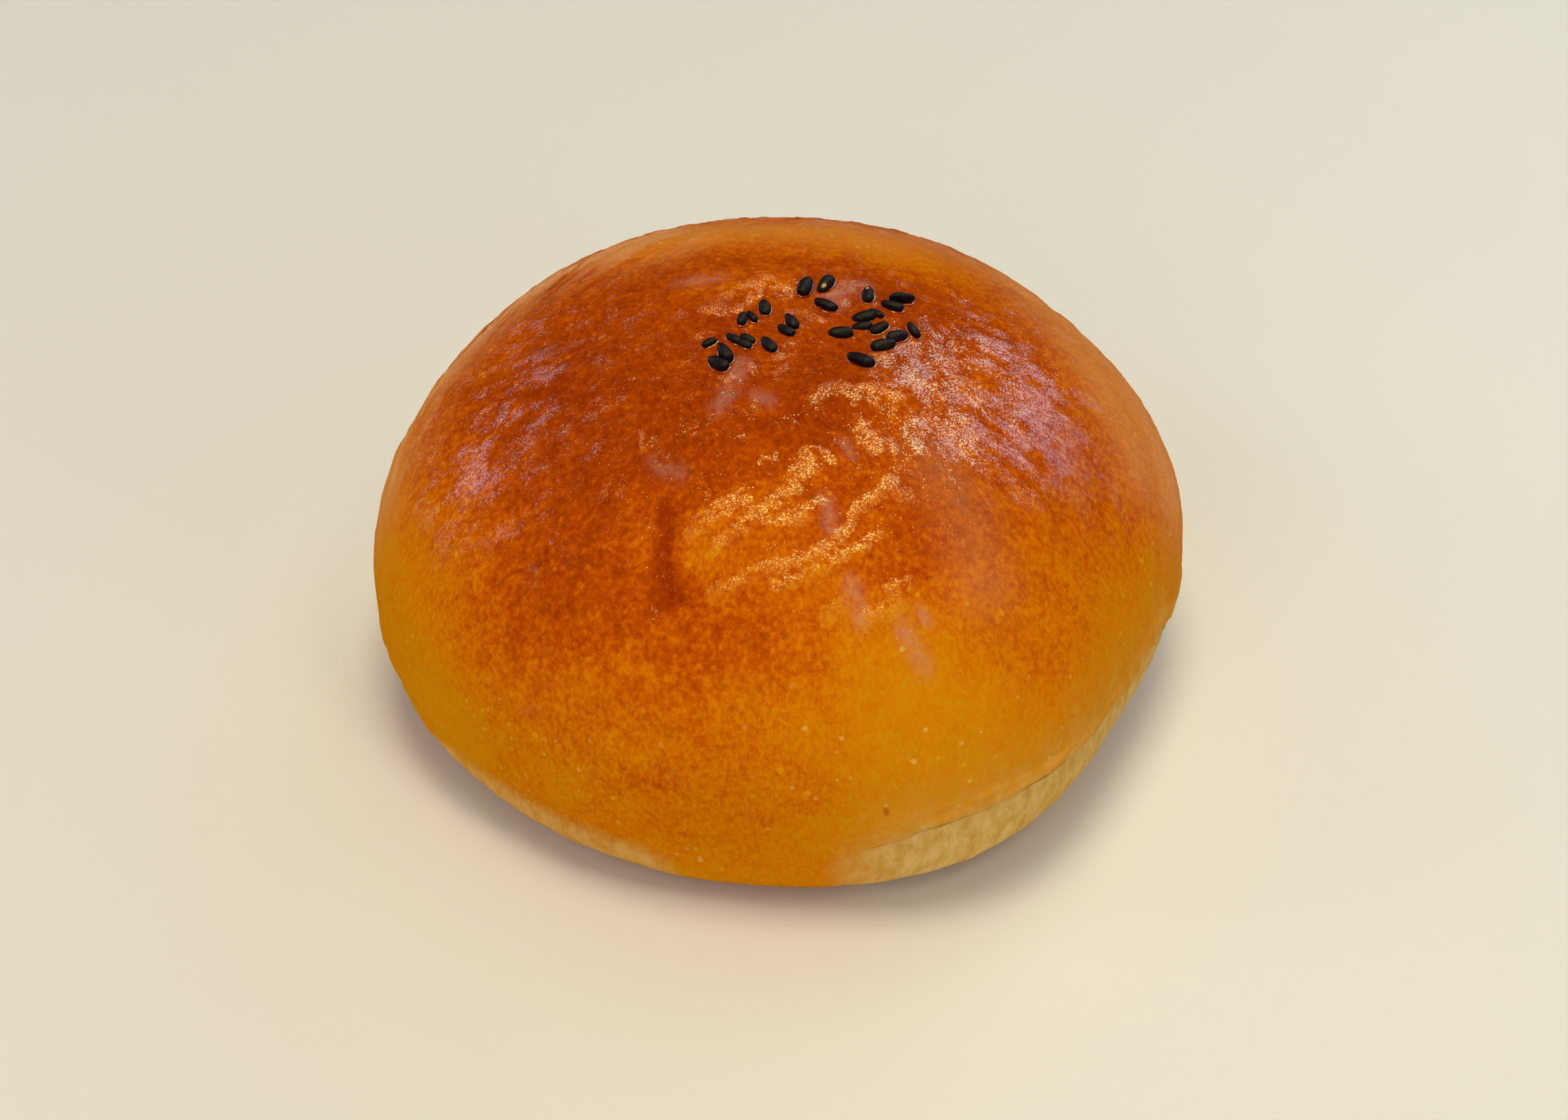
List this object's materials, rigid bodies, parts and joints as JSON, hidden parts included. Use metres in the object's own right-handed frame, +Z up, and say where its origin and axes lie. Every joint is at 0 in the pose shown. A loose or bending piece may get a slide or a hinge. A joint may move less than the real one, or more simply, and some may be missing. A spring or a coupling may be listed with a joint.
{
  "type": "glazed sesame bun",
  "caption": "Round soft bread bun with a glossy domed crust, a flat foot, a pale side band and black sesame seeds on its crown.",
  "frame": {"origin": "centre of the bun's box, on the plane of its flat foot", "axes": "+Z up, -Y towards the side with the long fold to its right, +X to the right"},
  "size_m": [0.0968, 0.0956, 0.0525],
  "materials": {
    "crust": "egg-washed golden brown crust with a soft gloss"
  },
  "bodies": {
    "root": {"bun": "crust"}
  },
  "joints": []
}
